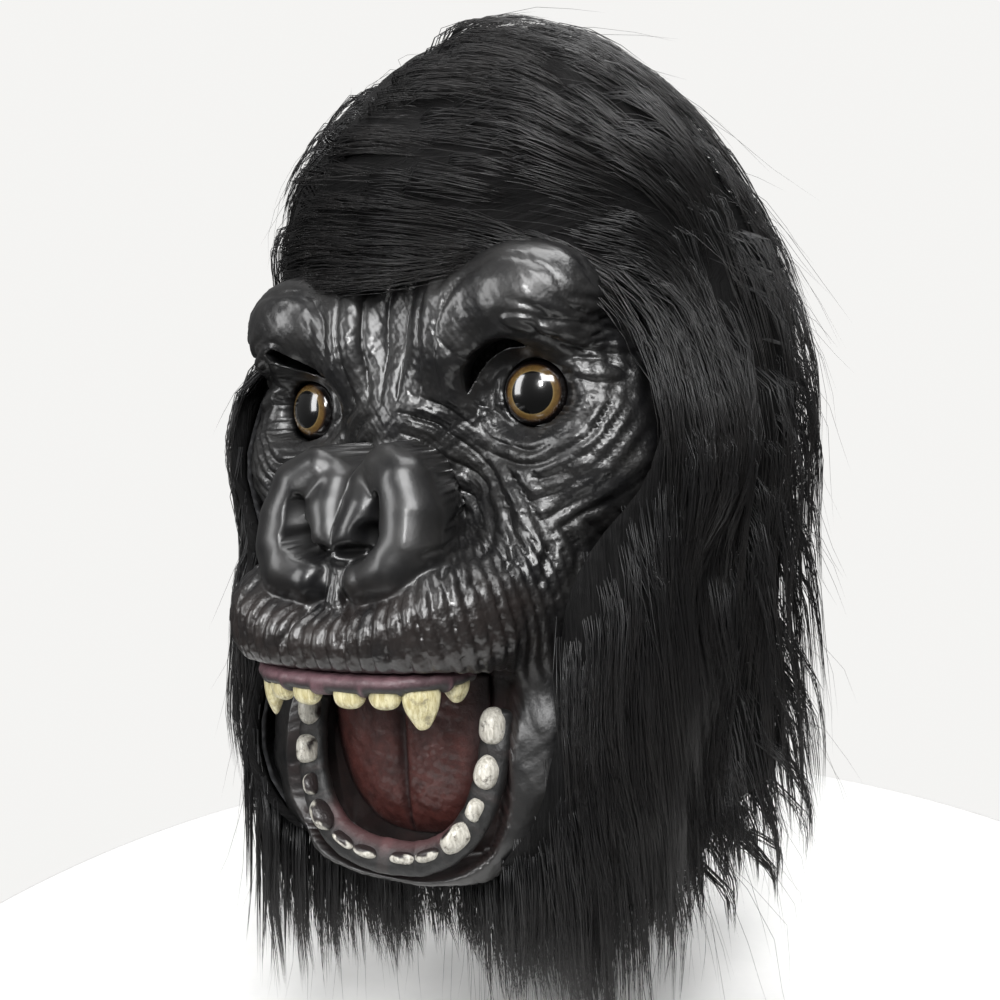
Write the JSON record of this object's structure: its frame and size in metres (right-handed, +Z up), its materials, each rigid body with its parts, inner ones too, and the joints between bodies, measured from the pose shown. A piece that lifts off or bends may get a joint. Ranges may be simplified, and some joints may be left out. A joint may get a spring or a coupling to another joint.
{
  "type": "gorilla mask",
  "caption": "Over-the-head gorilla mask: glossy black latex face with an open toothed mouth, amber eyes, and a cloth hood covered in long black faux fur.",
  "frame": {"origin": "inside top of the hood, where the crown of the wearer's head touches it", "axes": "+Z up, the face looks along -Y, +X is the wearer's left"},
  "size_m": [0.2726, 0.2837, 0.4251],
  "materials": {
    "latex": "thick glossy black latex paint over moulded wrinkles",
    "eye": "clear domed eye, amber ring around a large black pupil",
    "gum": "satin mauve pink paint",
    "lower_gum": "dark paint with a pinkish inner ridge",
    "tooth": "ivory paint with brown streaks",
    "lower_tooth": "patchy off-white paint",
    "tongue": "glossy dark red-brown paint",
    "cloth": "black knitted backing cloth",
    "fur": "long black synthetic fur with a soft sheen"
  },
  "bodies": {
    "root": {"latex_face": "latex", "eye_left": "eye", "eye_right": "eye", "upper_gum": "gum", "upper_incisor_inner_left": "tooth", "upper_incisor_inner_right": "tooth", "upper_incisor_outer_left": "tooth", "upper_incisor_outer_right": "tooth", "upper_canine_left": "tooth", "upper_canine_right": "tooth", "upper_molar_left": "tooth", "upper_molar_right": "tooth", "lower_gum": "lower_gum", "lower_incisor_inner_left": "lower_tooth", "lower_incisor_inner_right": "lower_tooth", "lower_incisor_outer_left": "lower_tooth", "lower_incisor_outer_right": "lower_tooth", "lower_canine_left": "lower_tooth", "lower_canine_right": "lower_tooth", "lower_premolar_left": "lower_tooth", "lower_premolar_right": "lower_tooth", "lower_molar_left": "lower_tooth", "lower_molar_right": "lower_tooth", "lower_back_molar_left": "lower_tooth", "lower_back_molar_right": "lower_tooth", "tongue": "tongue", "hood_backing": "cloth", "fur_crown": "fur", "fur_back": "fur", "fur_side_left": "fur", "fur_side_right": "fur", "fur_chin": "fur"}
  },
  "joints": []
}
